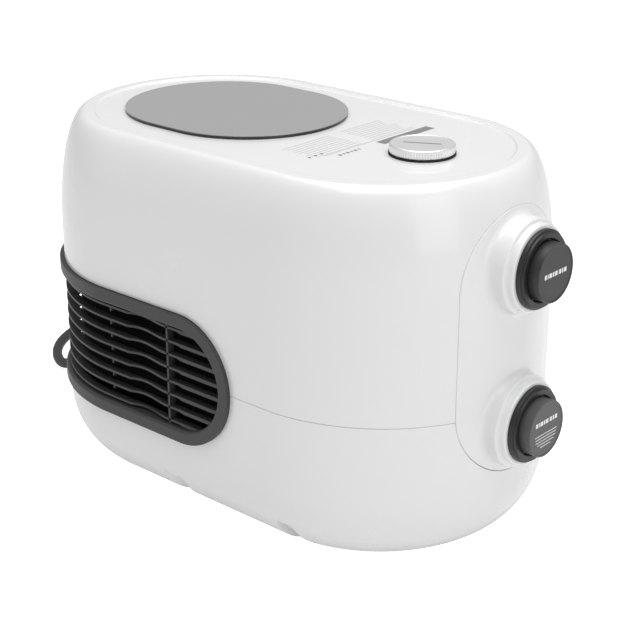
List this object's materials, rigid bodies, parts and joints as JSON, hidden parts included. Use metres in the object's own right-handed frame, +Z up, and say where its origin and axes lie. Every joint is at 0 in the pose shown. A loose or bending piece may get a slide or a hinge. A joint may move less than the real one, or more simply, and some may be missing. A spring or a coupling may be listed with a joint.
{
  "type": "compact swimming pool heat pump",
  "caption": "Compact oval pool water heat pump with a louvred air grille, two capped hose ports on one end, a glass control panel and a round filter cap on top.",
  "frame": {"origin": "middle of the footprint at floor level, cord left out", "axes": "+X towards the two water ports along the casing's length, -Y towards the long side whose grille has the finger scoop, +Z up"},
  "size_m": [0.6587, 0.453, 0.3247],
  "materials": {
    "white_shell": "fine satin moulded plastic",
    "dark_trim": "satin moulded plastic",
    "black_plastic": "matte moulded plastic",
    "port_plug": "satin moulded plastic",
    "cap_metal": "satin, knurled side",
    "smoked_glass": "gloss, printed grey on its back",
    "black_rubber": "matte",
    "cord_rubber": "matte sheath",
    "zinc_steel": "zinc plated",
    "copper": "drawn copper tube",
    "fin_aluminium": "thin pressed fins",
    "motor_black": "satin enamel",
    "grey_plastic": "moulded plastic",
    "board_green": "coated circuit board",
    "insulated_steel": "satin enamel"
  },
  "bodies": {
    "casing": {"base_screws": "zinc_steel", "chassis_plate": "zinc_steel", "coil_end_plates": "zinc_steel", "coil_fins": "fin_aluminium", "coil_tubes": "copper", "compressor": "motor_black", "compressor_bolts": "zinc_steel", "compressor_grommets": "black_rubber", "control_carrier": "dark_trim", "control_glass": "smoked_glass", "cord_coil": "cord_rubber", "cord_gland": "black_plastic", "cord_tail": "cord_rubber", "cord_tie": "black_plastic", "display_board": "board_green", "electronics_box": "grey_plastic", "electronics_lid": "grey_plastic", "exchanger_stand": "zinc_steel", "expansion_valve": "copper", "fan_motor": "motor_black", "fan_shroud": "black_plastic", "filter_drier": "copper", "filter_well": "black_plastic", "grille_frame": "dark_trim", "grille_louvres": "dark_trim", "heat_exchanger": "insulated_steel", "hose_clamps": "zinc_steel", "inlet_collar": "black_plastic", "inlet_spigot": "grey_plastic", "lower_shell": "white_shell", "main_board": "board_green", "motor_bracket": "zinc_steel", "outlet_collar": "black_plastic", "outlet_spigot": "grey_plastic", "port_panel": "white_shell", "power_cord": "cord_rubber", "power_plug": "cord_rubber", "pump_housing": "grey_plastic", "pump_motor": "motor_black", "refrigerant_pipes": "copper", "reversing_valve": "copper", "rubber_feet": "black_rubber", "run_capacitor": "grey_plastic", "suction_accumulator": "motor_black", "upper_shell": "white_shell", "water_hoses": "black_rubber"},
    "fan": {"fan_rotor": "black_plastic"},
    "impeller": {"pump_impeller": "grey_plastic"},
    "basket": {"strainer": "grey_plastic"},
    "cap_seal": {"cap_gasket": "black_rubber"},
    "cap": {"filter_cap": "cap_metal"},
    "outlet_stopper": {"outlet_plug": "port_plug", "outlet_seal": "black_rubber"},
    "inlet_stopper": {"inlet_plug": "port_plug", "inlet_seal": "black_rubber"}
  },
  "joints": [
    {"name": "fan_spin", "type": "hinge", "parent": "casing", "child": "fan", "pos_m": [-0.0825, 0.054, 0.1325], "axis": [0, 1, 0], "continuous": true},
    {"name": "impeller_spin", "type": "hinge", "parent": "casing", "child": "impeller", "pos_m": [0.128, 0, 0.07], "axis": [0, 0, 1], "continuous": true},
    {"name": "strainer_lift", "type": "slide", "parent": "casing", "child": "basket", "axis": [0, 0, 1], "range_m": [0, 0.16]},
    {"name": "cap_lift", "type": "slide", "parent": "basket", "child": "cap_seal", "axis": [0, 0, 1], "range_m": [0, 0.006]},
    {"name": "cap_turn", "type": "hinge", "parent": "cap_seal", "child": "cap", "pos_m": [0.1192, 0, 0.32], "axis": [0, 0, 1], "range_deg": [0, 720]},
    {"name": "outlet_pull", "type": "slide", "parent": "casing", "child": "outlet_stopper", "axis": [1, 0, 0], "range_m": [0, 0.05]},
    {"name": "inlet_pull", "type": "slide", "parent": "casing", "child": "inlet_stopper", "axis": [1, 0, 0], "range_m": [0, 0.05]}
  ],
  "couplings": [
    {"joint": "cap_turn", "follows": "cap_lift", "rad_per_m": 2094.4}
  ]
}
